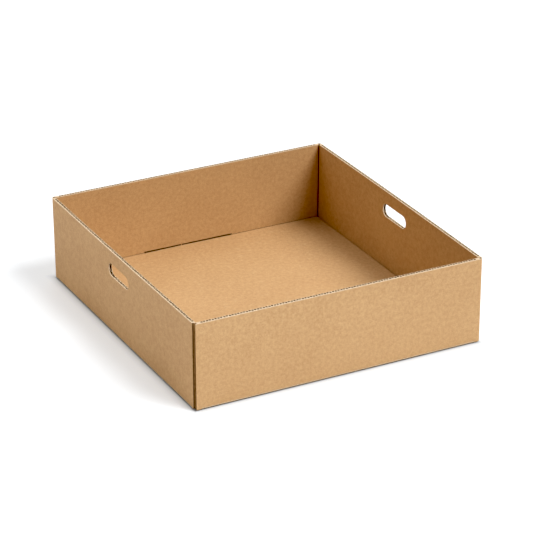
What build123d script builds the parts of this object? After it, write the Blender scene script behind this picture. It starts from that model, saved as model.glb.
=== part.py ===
from build123d import *
import os
from math import asin, atan2, cos, hypot, radians, sin, sqrt, tan

# Open tray folded from one die-cut blank of single-wall corrugated board.
# Millimetres. X runs from the left wall to the right wall, Y from the front
# wall to the rear wall, and the tray stands on Z = 0.

# ---- overall size, outside ----
width = 413.0
depth = 438.0
height = 120.0

# ---- corrugated board ----
board = 4.6             # whole thickness
liner = 0.5             # flat sheet on each face
medium = 0.4            # fluted sheet between the liners
flute_pitch = 7.8
crest_radius = 1.4      # centre line of the fluted sheet at a crest

# ---- folds ----
corner_radius = 4.0     # outside of a wall-to-wall fold
base_radius = 4.0       # outside of a fold along the bottom
crush = 3.5             # board flattened beside a fold along the bottom, where the flutes close
corner_crush = 1.5      # the same beside a wall-to-wall fold
crease_bead = 0.6       # radius of the groove pressed along the inside of a bottom fold
groove_width = 1.8      # inside of a wall-to-wall fold
groove_depth = 2.0
corner_lift = 2.0       # the walls end this far above the ground at each corner
corner_notch = 9.0      # length of wall beside a corner that has no flap under it

# ---- glued corner, front left ----
joint_recess = 2.0      # the front wall stops short of the left face
joint_radius = 3.0      # fold from the left wall into the glue flap
end_channel = 2.2       # depth of the flute that the cut end of the front wall opens
glue_flap = 35.0
glue_flap_drop = 4.0    # rim to the top of the glue flap
glue_flap_taper = 12.0  # slope of the flap's top and bottom edges, degrees

# ---- bottom flaps, in one layer on the ground ----
side_flap = 100.0
flap_seam = 2.0         # gap between neighbouring flaps
flap_end_gap = 2.5      # rear ends of the flaps to the outside of the rear wall

# ---- floor panel, folded in from the rear wall over the bottom flaps ----
floor_side_gap = 1.2
floor_front_gap = 1.0

# ---- offset slit in the rear fold ----
slit_length = 136.0
slit_centre_x = -5.0
slit_gap = 2.2
slit_clearance = 0.4    # each end of the tab that stands in the slit
nick_width = 1.2        # paper bridge left by the cutting die
nick_x = -16.0

# ---- hand holes, in the left and right walls ----
hand_hole_length = 62.0
hand_hole_height = 18.5
hand_hole_drop = 27.5   # rim to the middle of the hole
hand_hole_y = 1.5

left, right = -width / 2, width / 2
front, rear = -depth / 2, depth / 2
floor_top = 2 * board
flute_start = floor_top + crush
fold_radius = min(base_radius, board - liner)

# The centre line of the fluted sheet is arcs joined by straight flanks.
core = board - 2 * liner
crest_rise = core - medium
half_pitch = flute_pitch / 2
flank_angle = atan2(crest_rise - 2 * crest_radius, half_pitch) + asin(
    2 * crest_radius / hypot(half_pitch, crest_rise - 2 * crest_radius)
)
cell_radius = crest_radius - medium / 2
cell_arc_centre = crest_rise / 2 - crest_radius
cell_flank_top = cell_arc_centre + cell_radius * cos(flank_angle)
cell_half_base = cell_radius * sin(flank_angle) + (cell_flank_top + core / 2) / tan(flank_angle)


def flute_cell(u, side, arched):
    """Outline of one open flute centred at u: wide along one liner, arched or flat at the other."""
    crest = Vector(u, side * (cell_arc_centre + cell_radius))
    base = -side * core / 2
    shoulder_half = cell_radius * sin(flank_angle)
    shoulders = [Vector(u + s * shoulder_half, side * cell_flank_top) for s in (-1, 1)]
    feet = [Vector(u + s * cell_half_base, base) for s in (-1, 1)]
    if arched:
        top = Edge.make_three_point_arc(shoulders[1], crest, shoulders[0])
    else:
        top = Edge.make_line(shoulders[1], shoulders[0])
    return Wire([
        Edge.make_line(feet[0], feet[1]),
        Edge.make_line(feet[1], shoulders[1]),
        top,
        Edge.make_line(shoulders[0], feet[0]),
    ])


def flute_row(span, arched):
    """Open flutes across a span of board centred on u = 0, half a pitch apart, facing each way in turn."""
    count = int((span - 2 * liner - 2 * cell_half_base) / half_pitch) + 1
    first = -(count - 1) / 2 * half_pitch
    return [flute_cell(first + i * half_pitch, 1 - 2 * (i % 2), arched) for i in range(count)]


def fluted_panel(span, run):
    """Flat board, span wide in X, plain flutes along +Y from y = 0 to run, resting on z = 0."""
    outline = Wire.make_polygon(
        [(-span / 2, -board / 2), (span / 2, -board / 2), (span / 2, board / 2), (-span / 2, board / 2)]
    )
    section = Face(outline, flute_row(span, arched=False))
    upright = Plane(origin=(0, 0, board / 2), x_dir=(1, 0, 0), z_dir=(0, -1, 0))
    return Solid.extrude(upright.from_local_coords(section), Vector(0, run, 0))


def folded_flap(span, length):
    """Flap lying on z = 0 from its fold at y = 0: rounded outside the fold, fluted past the crushed zone."""
    crease_zone = board + crush
    root = Box(span, crease_zone, board, align=(Align.CENTER, Align.MIN, Align.MIN))
    fold_edge = root.edges().filter_by(Axis.X).group_by(Axis.Y)[0].sort_by(Axis.Z)[0]
    panel = Pos(0, crease_zone, 0) * fluted_panel(span, length - crease_zone)
    return fillet(fold_edge, fold_radius) + panel


def mitred(flap, corners):
    """A bottom flap trimmed to the outline given by its corners."""
    return flap & extrude(make_face(Polyline(*corners, close=True)), amount=board)


def wall_plan():
    """Plan of the wall ring: three folded corners and the open end of the front wall at the fourth."""
    ring = Rectangle(width, depth)
    folded = ring.vertices().sort_by_distance((left, front))[1:]
    ring = fillet(folded, corner_radius)
    ring -= Rectangle(width - 2 * board, depth - 2 * board)
    at_joint = (Align.MIN, Align.MIN)
    ring -= Pos(left, front) * Rectangle(joint_recess, board, align=at_joint)
    ring -= Pos(left + joint_recess, front + liner) * Rectangle(end_channel, core, align=at_joint)
    turn = Rectangle(joint_radius, joint_radius, align=at_joint)
    turn -= Pos(joint_radius, joint_radius) * Circle(joint_radius)
    ring -= Pos(left, front + board) * turn
    return ring


def fold_corners():
    """Inner corner of each wall-to-wall fold, with the direction that points out through the fold."""
    inner_x, inner_y = width / 2 - board, depth / 2 - board
    return [
        Location((inner_x, -inner_y), -45),
        Location((inner_x, inner_y), 45),
        Location((-inner_x, inner_y), 135),
    ]


def corner_void():
    """Crushed flute left open under the outer liner of a fold, from the fold's inner corner along +X."""
    under_liner = Pos((board - corner_radius) * sqrt(2), 0) * Circle(corner_radius - liner)
    past_groove = Pos(groove_depth + liner, 0) * Rectangle(board, 2 * board, align=(Align.MIN, Align.CENTER))
    return under_liner & past_groove


def wall_ring():
    """The four walls from the bottom folds to the rim, with their flutes open at the rim."""
    plan = wall_plan()
    for corner in fold_corners():
        plan -= corner * SlotCenterToCenter(2 * (groove_depth - groove_width / 2), groove_width)
    plan_face = plan.face()
    side_walls = depth - 2 * (board + corner_crush)
    end_walls = width - 2 * (board + corner_crush)
    places = [
        (Location((0, front + board / 2)), end_walls),
        (Location((0, rear - board / 2)), end_walls),
        (Location((left + board / 2, 0), 90), side_walls),
        (Location((right - board / 2, 0), 90), side_walls),
    ]
    flutes = [place * cell for place, span in places for cell in flute_row(span, arched=True)]
    voids = [(corner * corner_void()).face().outer_wire() for corner in fold_corners()]
    fluted = Face(plan_face.outer_wire(), plan_face.inner_wires() + flutes + voids)
    fluted_part = Pos(0, 0, flute_start) * Solid.extrude(fluted, Vector(0, 0, height - flute_start))
    closed = Face(plan_face.outer_wire(), plan_face.inner_wires() + voids)
    closed_part = Pos(0, 0, corner_lift) * Solid.extrude(closed, Vector(0, 0, flute_start - corner_lift))
    return closed_part + fluted_part


def under_walls():
    """Space under the walls between the corner notches, where the bottom folds go instead."""
    along_x = width - 2 * corner_notch
    along_y = depth - 2 * corner_notch
    low = fold_radius - corner_lift
    base = (Align.CENTER, Align.CENTER, Align.MIN)
    space = Pos(0, front + board / 2, corner_lift) * Box(along_x, board, low, align=base)
    for x in (left + board / 2, right - board / 2):
        space += Pos(x, 0, corner_lift) * Box(board, along_y, low, align=base)
    rear_low = board + fold_radius - corner_lift
    return space + Pos(0, rear - board / 2, corner_lift) * Box(floor_width(), board, rear_low, align=base)


def floor_width():
    return width - 2 * (board + floor_side_gap)


def bottom_flaps():
    """Front flap under the whole depth and a flap from each side wall, mitred where they meet."""
    reach = depth - flap_end_gap
    middle = width / 2 - side_flap
    seam = flap_seam / 2
    half_front = width / 2 - corner_notch
    front_flap = Pos(0, front, 0) * folded_flap(2 * half_front, reach)
    flaps = mitred(
        front_flap,
        [
            (-half_front, front),
            (half_front, front),
            (half_front, front + corner_notch - seam),
            (middle - seam, front + side_flap),
            (middle - seam, front + reach),
            (-middle + seam, front + reach),
            (-middle + seam, front + side_flap),
            (-half_front, front + corner_notch - seam),
        ],
    )
    side_outline = [
        (left, front + corner_notch),
        (left + corner_notch - seam, front + corner_notch),
        (left + side_flap - seam, front + side_flap),
        (left + side_flap - seam, front + reach),
        (left + corner_notch, front + reach),
        (left + corner_notch, rear - corner_notch),
        (left, rear - corner_notch),
    ]
    side = Pos(left, 0, 0) * Rot(0, 0, -90) * folded_flap(depth, side_flap)
    side = mitred(side, side_outline)
    return flaps + side + mirror(side, Plane.YZ)


def floor_panel():
    """Floor folded in from the rear wall, lying on the bottom flaps."""
    length = depth - board - floor_front_gap
    return Pos(0, rear, board) * Rot(0, 0, 180) * folded_flap(floor_width(), length)


def glued_flap():
    """End of the blank, turned in from the left wall and glued inside the front wall."""
    low = floor_top + glue_flap_drop
    top = height - glue_flap_drop
    panel = Rot(90, 0, 0) * fluted_panel(glue_flap, top - low)
    upright = Pos(left + board + glue_flap / 2, front + 2 * board, low) * panel
    slope = glue_flap * tan(radians(glue_flap_taper))
    outline = Polyline(
        (left + board, low),
        (left + board + glue_flap, low + slope),
        (left + board + glue_flap, top - slope),
        (left + board, top),
        close=True,
    )
    keep = extrude(Plane.XZ * make_face(outline), amount=depth, both=True)
    return upright & keep


def crease_beads():
    """Bead pressed along the inside of each bottom fold."""
    beads = Pos(0, front + board, board) * Rot(0, 90, 0) * Cylinder(crease_bead, width - 2 * corner_notch)
    beads += Pos(0, rear - board, floor_top) * Rot(0, 90, 0) * Cylinder(crease_bead, floor_width())
    for x in (left + board, right - board):
        beads += Pos(x, 0, board) * Rot(90, 0, 0) * Cylinder(crease_bead, depth - 2 * corner_notch)
    return beads


def hand_holes():
    """Rounded slot through both side walls."""
    slot = SlotOverall(hand_hole_length, hand_hole_height)
    across = Plane(origin=(0, hand_hole_y, height - hand_hole_drop), x_dir=(0, 1, 0), z_dir=(1, 0, 0))
    return extrude(across * slot, amount=width, both=True)


def rear_slit():
    """Slit through the rear fold, and the tab of the floor that stands in it."""
    floor = (Align.CENTER, Align.MAX, Align.MIN)
    opening_height = board + slit_gap
    opening = Pos(slit_centre_x, rear, board) * Box(slit_length, board, opening_height, align=floor)
    tab_width = slit_length - 2 * slit_clearance
    tab = Pos(slit_centre_x, rear, board) * Box(tab_width, board + crease_bead, board, align=floor)
    nick = Pos(nick_x, rear - board + liner, floor_top) * Box(nick_width, liner, slit_gap, align=floor)
    return opening, tab + nick


def tray():
    ring = wall_ring() - under_walls()
    body = ring + bottom_flaps() + floor_panel() + glued_flap()
    opening, tab = rear_slit()
    return body - crease_beads() - hand_holes() - opening + tab


os.makedirs("parts", exist_ok=True)
export_step(tray(), "parts/tray.step")
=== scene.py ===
import bmesh
import bpy
from math import cos, hypot, pi, radians, sin
from mathutils import Matrix, Vector


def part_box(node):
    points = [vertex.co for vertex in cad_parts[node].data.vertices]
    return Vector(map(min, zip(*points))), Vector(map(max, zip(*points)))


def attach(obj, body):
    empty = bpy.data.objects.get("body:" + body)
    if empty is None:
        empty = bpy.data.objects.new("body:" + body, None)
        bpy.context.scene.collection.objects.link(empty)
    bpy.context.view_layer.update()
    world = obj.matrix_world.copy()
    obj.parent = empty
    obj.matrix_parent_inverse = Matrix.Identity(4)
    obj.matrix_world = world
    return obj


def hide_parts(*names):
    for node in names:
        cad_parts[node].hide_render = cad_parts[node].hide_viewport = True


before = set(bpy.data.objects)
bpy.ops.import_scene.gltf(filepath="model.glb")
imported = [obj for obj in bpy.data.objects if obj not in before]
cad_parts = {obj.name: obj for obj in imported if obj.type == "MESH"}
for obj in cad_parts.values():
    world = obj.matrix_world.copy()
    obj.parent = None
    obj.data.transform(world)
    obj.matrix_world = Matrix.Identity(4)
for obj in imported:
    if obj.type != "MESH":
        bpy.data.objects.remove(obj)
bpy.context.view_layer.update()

# ---------------------------------------------------------------------------
# The tray: one blank of corrugated board, folded and glued. Its walls lean and
# bow a little, as real board does, and the knife has pressed the mouths of the
# flutes partly shut, which leaves a broad raw lip along one side of each edge.
# ---------------------------------------------------------------------------
BOARD = 0.0046
LINER = 0.0005
SLIT_GAP = 0.0022
JOINT_REACH = 0.005         # how far the open joint reaches from the front left corner
CORNER_RADIUS = 0.004
WALL_BASE = 3 * BOARD       # above this height there are only walls
WALL_STEP = 0.02            # longest straight length of a bowed wall
LEAN_START = 0.012          # height where the walls begin to lean
SKIN = 0.00006              # how near a face lies to the surface that it belongs to
WELD = 0.000001             # vertices nearer than this become one
TILT = 0.05                 # least upward or downward part of the normal of a tilted face
SQUARE_ON = 0.999           # least part along one axis of a normal that points along it
MOUTH_HALF = 0.0015         # the most that a flute's mouth stays open each way along the edge
MOUTH_SPREAD = 1.3          # how much the narrow side of a mouth has opened
BROAD_LIP, NARROW_LIP = 0.0012, 0.0004       # raw paper left of, or in front of, a mouth, and past it
FOLD_RING = 0.001           # thickness of the folded board round the open corners of the rim
FOLD_CUT = 0.0028           # how far those openings reach in from the rounded corner
FOLD_NARROWING = 0.75

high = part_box("tray")[1]
half_width, half_depth, height = high.x, high.y, high.z
corner_leans = {             # how far each top corner has moved, in metres
    (-1, -1): Vector((0.0, 0.0008)),
    (1, -1): Vector((0.0002, 0.0005)),
    (1, 1): Vector((0.0012, 0.0006)),
    (-1, 1): Vector((-0.0009, 0.0)),
}
wall_bows = {                # how far the middle of each rim has bowed past its corners
    (-1, 0): Vector((-0.0008, 0.0)),
    (1, 0): Vector((0.0013, 0.0)),
    (0, -1): Vector((0.0, 0.0006)),
    (0, 1): Vector((0.0, -0.0002)),
}

tray_mesh = bpy.data.meshes.new("tray_board")
tray = bpy.data.objects.new("tray_board", tray_mesh)
bpy.context.scene.collection.objects.link(tray)
board = bmesh.new()
board.from_mesh(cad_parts["tray"].data)
bmesh.ops.remove_doubles(board, verts=board.verts, dist=WELD)

walls = [f for f in board.faces if max(v.co.z for v in f.verts) > WALL_BASE]
walls += list({v for f in walls for v in f.verts}) + list({e for f in walls for e in f.edges})
for axis, reach in ((Vector((1, 0, 0)), half_width), (Vector((0, 1, 0)), half_depth)):
    cuts = int((reach - 2 * BOARD) / WALL_STEP)
    for i in range(-cuts, cuts + 1):
        cut_at = axis * (i * WALL_STEP)
        split = bmesh.ops.bisect_plane(board, geom=walls, dist=1e-7, plane_co=cut_at, plane_no=axis)
        walls = split["geom"]


def depth_in_wall(place):
    """Distance from the nearest outer face of the tray, with three of its corners rounded."""
    from_x, from_y = half_width - abs(place.x), half_depth - abs(place.y)
    if max(from_x, from_y) < CORNER_RADIUS and (place.x > 0 or place.y > 0):
        return CORNER_RADIUS - hypot(CORNER_RADIUS - from_x, CORNER_RADIUS - from_y)
    return min(from_x, from_y)


def finish_of(face):
    """0 for flat liner, 1 for a raw cut edge, 2 inside a flute or the slit, painted dark as shade, 3 in
    the glued corner, darkened partly as painted shade.
    """
    heights = [v.co.z for v in face.verts]
    depths = [depth_in_wall(v.co) for v in face.verts]
    normal = face.normal
    middle = face.calc_center_median()
    # The slit's faces take finish 2, whose dark colour is painted shade.
    in_slit = 2 * BOARD - SKIN < middle.z < 2 * BOARD + SLIT_GAP + SKIN
    if in_slit and middle.y > half_depth - BOARD + SKIN and abs(normal.y) < 0.5:
        return 2
    if max(heights) < 2 * BOARD + SKIN and min(depths) > LINER + SKIN:
        layer = BOARD if min(heights) > BOARD - SKIN else 0.0
        if layer + LINER - SKIN < min(heights) and max(heights) < layer + BOARD - LINER + SKIN:
            return 2
        return 1 if abs(normal.z) < 0.1 else 0
    if normal.z > 0.9 and min(heights) > height - SKIN:
        return 1
    # The glued corner takes finish 3, darkened partly as painted shade.
    at_corner = middle.x < JOINT_REACH - half_width and middle.y < JOINT_REACH - half_depth
    if at_corner and max(depths) > SKIN and abs(normal.z) < TILT and middle.y < BOARD + SKIN - half_depth:
        return 3
    hole_end = abs(middle.x) > half_width - BOARD and abs(middle.y) < half_depth - 2 * BOARD
    if middle.z > WALL_BASE and (abs(normal.z) > TILT or hole_end and abs(normal.y) > SQUARE_ON):
        return 1
    leaf = BOARD if min(depths) > BOARD - SKIN else 0.0
    if leaf + LINER - SKIN < min(depths) and max(depths) < leaf + BOARD - LINER + SKIN:
        return 2
    across = max(abs(normal.x), abs(normal.y))
    if max(depths) - min(depths) > SKIN and (abs(normal.z) > TILT or across > SQUARE_ON):
        return 1
    return 0


board.normal_update()
for face in board.faces:
    face.material_index = finish_of(face)

# The mouth of each flute, at the rim and round the hand holes, is a loop of edges
# between its inside and the raw edge. The open end of the front wall stays as it is.
links_at = {}
for edge in board.edges:
    finishes = {f.material_index for f in edge.link_faces}
    if finishes == {1, 2} and min(v.co.z for v in edge.verts) > WALL_BASE:
        for vertex in edge.verts:
            links_at.setdefault(vertex, []).append(edge.other_vert(vertex))


def pressed(value, wall_start):
    """Place across a wall of a point of a mouth, between the two lips."""
    share = (value - wall_start - LINER) / (BOARD - 2 * LINER)
    return wall_start + BROAD_LIP + share * (BOARD - BROAD_LIP - NARROW_LIP)


def narrowed(value, centre):
    """Place along a wall of a point of a mouth."""
    return centre + max(-MOUTH_HALF, min(MOUTH_HALF, (value - centre) * MOUTH_SPREAD))


waiting = set(links_at)
while waiting:
    mouth, found = set(), [waiting.pop()]
    while found:
        vertex = found.pop()
        mouth.add(vertex)
        found += [v for v in links_at[vertex] if v not in mouth]
    waiting -= mouth
    low_x, high_x = (pick(v.co.x for v in mouth) for pick in (min, max))
    low_y, high_y = (pick(v.co.y for v in mouth) for pick in (min, max))
    level = max(v.co.z for v in mouth) - min(v.co.z for v in mouth) < SKIN
    centre = Vector(((low_x + high_x) / 2, (low_y + high_y) / 2))
    side = Vector((1 if centre.x > 0 else -1, 1 if centre.y > 0 else -1))
    if min(half_width - abs(centre.x), half_depth - abs(centre.y)) > BOARD:
        continue
    if max(half_width - abs(centre.x), half_depth - abs(centre.y)) < 1.2 * BOARD:
        if side.x < 0 and side.y < 0:
            continue
        outward = side.normalized()
        tip = Vector((side.x * (half_width - CORNER_RADIUS), side.y * (half_depth - CORNER_RADIUS)))
        tip += outward * CORNER_RADIUS
        start = min((tip - v.co.xy).dot(outward) for v in mouth)
        end = max((tip - v.co.xy).dot(outward) for v in mouth)
        if start > 2 * LINER:
            continue
        for vertex in mouth:
            inset = (tip - vertex.co.xy).dot(outward)
            sideways = tip - vertex.co.xy - outward * inset
            moved = FOLD_RING + (inset - start) / (end - start) * (FOLD_CUT - FOLD_RING)
            vertex.co.xy = tip - outward * moved - sideways * FOLD_NARROWING
        continue
    in_side_wall = half_width - abs(centre.x) < half_depth - abs(centre.y)
    for vertex in mouth:
        if in_side_wall:
            vertex.co.x = pressed(vertex.co.x, -half_width if side.x < 0 else half_width - BOARD)
            if level:
                vertex.co.y = narrowed(vertex.co.y, centre.y)
        else:
            vertex.co.y = pressed(vertex.co.y, -half_depth if side.y < 0 else half_depth - BOARD)
            vertex.co.x = narrowed(vertex.co.x, centre.x)

for vertex in board.verts:
    rise = max(0.0, (vertex.co.z - LEAN_START) / (height - LEAN_START))
    u, v = vertex.co.x / half_width, vertex.co.y / half_depth
    move = Vector((0.0, 0.0))
    for (side_u, side_v), lean in corner_leans.items():
        move += lean * (1 + side_u * u) * (1 + side_v * v) / 4
    for (side_u, side_v), bow in wall_bows.items():
        along = v if side_u else u
        move += bow * max(0.0, side_u * u + side_v * v) * cos(along * pi / 2)
    vertex.co += (move * rise).to_3d()
board.to_mesh(tray_mesh)
board.free()

# The liner is brown kraft paper. Soft clouds, close mottling, fine grain and short
# pale fibres lie over each other, and the flutes show through as a faint relief.
# Its colours also depend on the black level of the view, set with the camera.
KRAFT_DARK, KRAFT_LIGHT = (0.459, 0.268, 0.125, 1.0), (0.569, 0.357, 0.177, 1.0)
KRAFT_FIBRE = (0.74, 0.55, 0.33, 1.0)
RAW_PAPER = (0.69, 0.55, 0.39, 1.0)
FIBRE_SHARE, TORN_AND_HIGHLIGHT_SHARE = 0.18, 0.75
# Painted highlight: the paler band under the rim stands partly for raw paper at the cut and partly for
# light falling on the rim.
TORN_AND_HIGHLIGHT_START, TORN_AND_HIGHLIGHT_FULL = 0.0009, 0.0004       # paler band under the rim, measured down from it
FLUTE_PITCH = 0.0078
FLUTE_RELIEF, MOTTLE_RELIEF = 0.10, 0.5      # against a relief of 1 for the grain

kraft = bpy.data.materials.new("kraft_liner")
kraft.use_nodes = True
nodes, links = kraft.node_tree.nodes, kraft.node_tree.links
shader = nodes["Principled BSDF"]
shader.inputs["Roughness"].default_value = 0.7
shader.inputs["Specular IOR Level"].default_value = 0.3
place = nodes.new("ShaderNodeTexCoord").outputs["Object"]


def speckle(scale, detail, stretch=(1, 1, 1)):
    """Noise over the board, with its grain stretched along one direction."""
    mapping = nodes.new("ShaderNodeMapping")
    mapping.inputs["Scale"].default_value = stretch
    links.new(place, mapping.inputs["Vector"])
    texture = nodes.new("ShaderNodeTexNoise")
    texture.inputs["Scale"].default_value = scale
    texture.inputs["Detail"].default_value = detail
    texture.inputs["Roughness"].default_value = 0.6
    links.new(mapping.outputs["Vector"], texture.inputs["Vector"])
    return texture.outputs["Fac"]


def spread(value, start, end, out_start=0.0, out_end=1.0):
    """Part of a noise between two levels, spread over a new range."""
    remap = nodes.new("ShaderNodeMapRange")
    levels = {"From Min": start, "From Max": end, "To Min": out_start, "To Max": out_end}
    for name, number in levels.items():
        remap.inputs[name].default_value = number
    links.new(value, remap.inputs["Value"])
    return remap.outputs["Result"]


def combined(operation, first, second):
    """Two values joined by one arithmetic step."""
    step = nodes.new("ShaderNodeMath")
    step.operation = operation
    for socket, value in zip(step.inputs, (first, second)):
        if isinstance(value, (int, float)):
            socket.default_value = value
        else:
            links.new(value, socket)
    return step.outputs["Value"]


def blended(amount, first, second):
    """Two colours mixed by an amount."""
    mix = nodes.new("ShaderNodeMix")
    mix.data_type = "RGBA"
    links.new(amount, mix.inputs["Factor"])
    for socket, value in zip((mix.inputs["A"], mix.inputs["B"]), (first, second)):
        if isinstance(value, tuple):
            socket.default_value = value
        else:
            links.new(value, socket)
    return mix.outputs["Result"]


def roughen(height_value, strength, depth):
    """Relief on the present shader, from a value that stands for height."""
    bump = nodes.new("ShaderNodeBump")
    bump.inputs["Strength"].default_value = strength
    bump.inputs["Distance"].default_value = depth
    links.new(height_value, bump.inputs["Height"])
    links.new(bump.outputs["Normal"], shader.inputs["Normal"])


clouds = spread(speckle(11, 3), 0.3, 0.7, -0.16, 0.16)
mottle = spread(speckle(210, 4), 0.3, 0.7, -0.42, 0.42)
grain = spread(speckle(750, 3), 0.3, 0.7, -0.45, 0.45)
tone = combined("ADD", 0.5, combined("ADD", clouds, combined("ADD", mottle, grain)))
base = blended(tone, KRAFT_DARK, KRAFT_LIGHT)
across_fibres = spread(speckle(150, 2, (1, 1, 7)), 0.62, 0.72)
upright_fibres = spread(speckle(160, 2, (7, 5, 1)), 0.63, 0.73)
fibres = combined("MULTIPLY", combined("MAXIMUM", across_fibres, upright_fibres), FIBRE_SHARE)
base = blended(fibres, base, KRAFT_FIBRE)

axes = nodes.new("ShaderNodeSeparateXYZ")
links.new(place, axes.inputs["Vector"])
facing = nodes.new("ShaderNodeSeparateXYZ")
links.new(nodes.new("ShaderNodeNewGeometry").outputs["Normal"], facing.inputs["Vector"])
# Painted highlight: raw paper colour just under the rim, partly the cut's own pale paper and partly light
# falling on the rim.
torn_and_highlight_band = spread(axes.outputs["Z"], height - TORN_AND_HIGHLIGHT_START, height - TORN_AND_HIGHLIGHT_FULL)
base = blended(combined("MULTIPLY", torn_and_highlight_band, TORN_AND_HIGHLIGHT_SHARE), base, RAW_PAPER)
links.new(base, shader.inputs["Base Color"])

sideways = combined("GREATER_THAN", combined("ABSOLUTE", facing.outputs["X"], 0.0), 0.7)
from_x = combined("MULTIPLY", axes.outputs["X"], combined("SUBTRACT", 1.0, sideways))
from_y = combined("MULTIPLY", axes.outputs["Y"], sideways)
along_wall = combined("ADD", from_x, from_y)
washboard = combined("SINE", combined("MULTIPLY", along_wall, 2 * pi / FLUTE_PITCH), 0.0)
relief = combined("ADD", combined("MULTIPLY", washboard, FLUTE_RELIEF), grain)
relief = combined("ADD", relief, combined("MULTIPLY", mottle, MOTTLE_RELIEF))
roughen(relief, 0.5, 0.00012)
tray_mesh.materials.append(kraft)

# The raw edge: pale fibre where the knife went through the paper, a little
# brown where the three sheets are glued to each other.
raw = bpy.data.materials.new("raw_edge")
raw.use_nodes = True
nodes, links = raw.node_tree.nodes, raw.node_tree.links
shader = nodes["Principled BSDF"]
shader.inputs["Roughness"].default_value = 0.9
shader.inputs["Specular IOR Level"].default_value = 0.1
place = nodes.new("ShaderNodeTexCoord").outputs["Object"]
fuzz = spread(speckle(420, 3), 0.35, 0.65)
links.new(blended(fuzz, (0.56, 0.41, 0.26, 1.0), RAW_PAPER), shader.inputs["Base Color"])
roughen(fuzz, 0.6, 0.00015)
tray_mesh.materials.append(raw)

# The inside of the flutes and of the slit: the same brown paper, painted much darker as the shade deep
# inside them.
flute = bpy.data.materials.new("flute_paper_painted_shade")
flute.use_nodes = True
nodes, links = flute.node_tree.nodes, flute.node_tree.links
shader = nodes["Principled BSDF"]
shader.inputs["Roughness"].default_value = 0.9
shader.inputs["Specular IOR Level"].default_value = 0.1
place = nodes.new("ShaderNodeTexCoord").outputs["Object"]
fuzz = spread(speckle(300, 3), 0.3, 0.7)
links.new(blended(fuzz, (0.10, 0.052, 0.02, 1.0), (0.20, 0.11, 0.048, 1.0)), shader.inputs["Base Color"])
roughen(fuzz, 0.5, 0.00015)
tray_mesh.materials.append(flute)

# The glued corner: the cut end of the front wall and the fold behind it. Their brown is darker
# than the liner, partly their own colour and partly painted shade from each other's shadow.
joint = bpy.data.materials.new("joint_board_painted_shade")
joint.use_nodes = True
nodes, links = joint.node_tree.nodes, joint.node_tree.links
shader = nodes["Principled BSDF"]
shader.inputs["Roughness"].default_value = 0.9
shader.inputs["Specular IOR Level"].default_value = 0.1
place = nodes.new("ShaderNodeTexCoord").outputs["Object"]
fuzz = spread(speckle(260, 3), 0.3, 0.7)
links.new(blended(fuzz, (0.32, 0.19, 0.085, 1.0), (0.46, 0.28, 0.135, 1.0)), shader.inputs["Base Color"])
roughen(fuzz, 0.5, 0.00015)
tray_mesh.materials.append(joint)

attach(tray, "root")
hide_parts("tray")

# ---------------------------------------------------------------------------
# The studio: a white ground, a dim white surround, a key light from the front right
# with four wide softer lights, and a camera with a long lens. The ground glows by
# itself, and the glow fades beside the tray, which draws part of the contact shade.
# ---------------------------------------------------------------------------
GROUND_HALF = 12.0
GROUND_GLOW = 0.36
CONTACT_REACH = 0.012       # the glow fades this near to the tray
CONTACT_POWER = 0.4

ground_mesh = bpy.data.meshes.new("ground")
ground_form = bmesh.new()
bmesh.ops.create_grid(ground_form, x_segments=1, y_segments=1, size=GROUND_HALF)
ground_form.to_mesh(ground_mesh)
ground_form.free()
ground = bpy.data.objects.new("ground", ground_mesh)
bpy.context.scene.collection.objects.link(ground)

white = bpy.data.materials.new("white_ground")
white.use_nodes = True
shader = white.node_tree.nodes["Principled BSDF"]
shader.inputs["Base Color"].default_value = (0.62, 0.645, 0.67, 1.0)
shader.inputs["Roughness"].default_value = 1.0
shader.inputs["Specular IOR Level"].default_value = 0.0
shader.inputs["Emission Color"].default_value = (1.0, 1.0, 1.0, 1.0)
nodes, links = white.node_tree.nodes, white.node_tree.links
axes = nodes.new("ShaderNodeSeparateXYZ")
links.new(nodes.new("ShaderNodeTexCoord").outputs["Object"], axes.inputs["Vector"])
past_x = combined("SUBTRACT", combined("ABSOLUTE", axes.outputs["X"], 0.0), half_width)
past_y = combined("SUBTRACT", combined("ABSOLUTE", axes.outputs["Y"], 0.0), half_depth)
glow = spread(combined("MAXIMUM", past_x, past_y), 0.0, CONTACT_REACH, 0.0, 1.0)
glow = combined("MULTIPLY", combined("POWER", glow, CONTACT_POWER), GROUND_GLOW)
links.new(glow, shader.inputs["Emission Strength"])
ground_mesh.materials.append(white)

WORLD_STRENGTH = 0.1
world = bpy.data.worlds.new("studio")
bpy.context.scene.world = world
world.use_nodes = True
world.node_tree.nodes["Background"].inputs["Color"].default_value = (1.0, 1.0, 1.0, 1.0)
world.node_tree.nodes["Background"].inputs["Strength"].default_value = WORLD_STRENGTH

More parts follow.
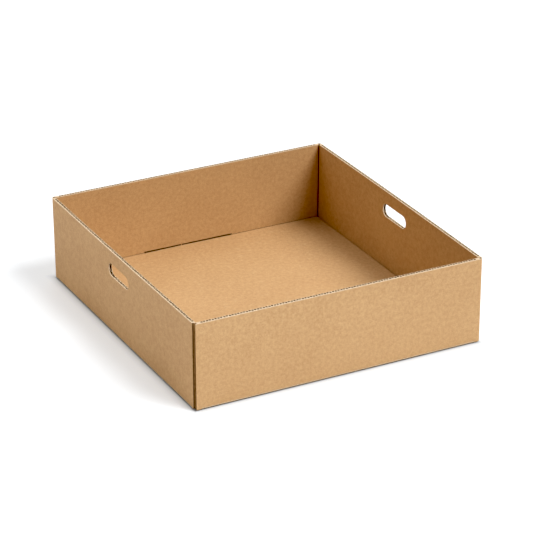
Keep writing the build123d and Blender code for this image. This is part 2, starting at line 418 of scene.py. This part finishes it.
# Each light: name, direction that it comes from and width in degrees, strength, colour.
for name, azimuth, elevation, spread_angle, strength, colour in (
    ("key_light", 40, 50, 30, 3.0, (1.0, 1.0, 1.0)),
    ("front_softbox", 20, 35, 70, 0.38, (1.0, 1.0, 1.0)),
    ("rear_softbox", 180, 50, 70, 1.37, (1.0, 1.0, 1.0)),
    ("top_softbox", 0, 85, 70, 0.5, (1.0, 1.0, 1.0)),
    ("left_fill", -100, 15, 50, 0.7, (1.0, 0.85, 0.68)),
):
    light = bpy.data.lights.new(name, "SUN")
    light.energy = strength
    light.color = colour
    light.angle = radians(spread_angle)
    softbox = bpy.data.objects.new(name, light)
    turned, raised = radians(azimuth), radians(elevation)
    source = Vector((sin(turned) * cos(raised), -cos(turned) * cos(raised), sin(raised)))
    softbox.rotation_euler = source.to_track_quat("Z", "Y").to_euler()
    bpy.context.scene.collection.objects.link(softbox)

BLACK_LEVEL = 0.025         # of the view: deepens the shadows and strengthens the colours
CAMERA_AZIMUTH = radians(-27.55)
CAMERA_ELEVATION = radians(25.19)
CAMERA_DISTANCE = 3.3335
CAMERA_RIGHT, CAMERA_UP = 0.0061, 0.0021
LENS_LENGTH, SENSOR_WIDTH = 169.47, 36.0
back = Vector((
    sin(CAMERA_AZIMUTH) * cos(CAMERA_ELEVATION),
    -cos(CAMERA_AZIMUTH) * cos(CAMERA_ELEVATION),
    sin(CAMERA_ELEVATION),
))
right = (-back).cross(Vector((0, 0, 1))).normalized()
up = back.cross(right)
lens = bpy.data.cameras.new("camera")
lens.sensor_width = SENSOR_WIDTH
lens.lens = LENS_LENGTH
lens.clip_end = 100.0
camera = bpy.data.objects.new("camera", lens)
bpy.context.scene.collection.objects.link(camera)
turn = Matrix((right, up, back)).transposed().to_4x4()
middle = Vector((0, 0, height / 2))
stand = middle + back * CAMERA_DISTANCE + right * CAMERA_RIGHT + up * CAMERA_UP
camera.matrix_world = Matrix.Translation(stand) @ turn
bpy.context.scene.camera = camera
bpy.context.scene.view_settings.view_transform = "Standard"
bpy.context.scene.view_settings.use_curve_mapping = True
bpy.context.scene.view_settings.curve_mapping.black_level = (BLACK_LEVEL, BLACK_LEVEL, BLACK_LEVEL)
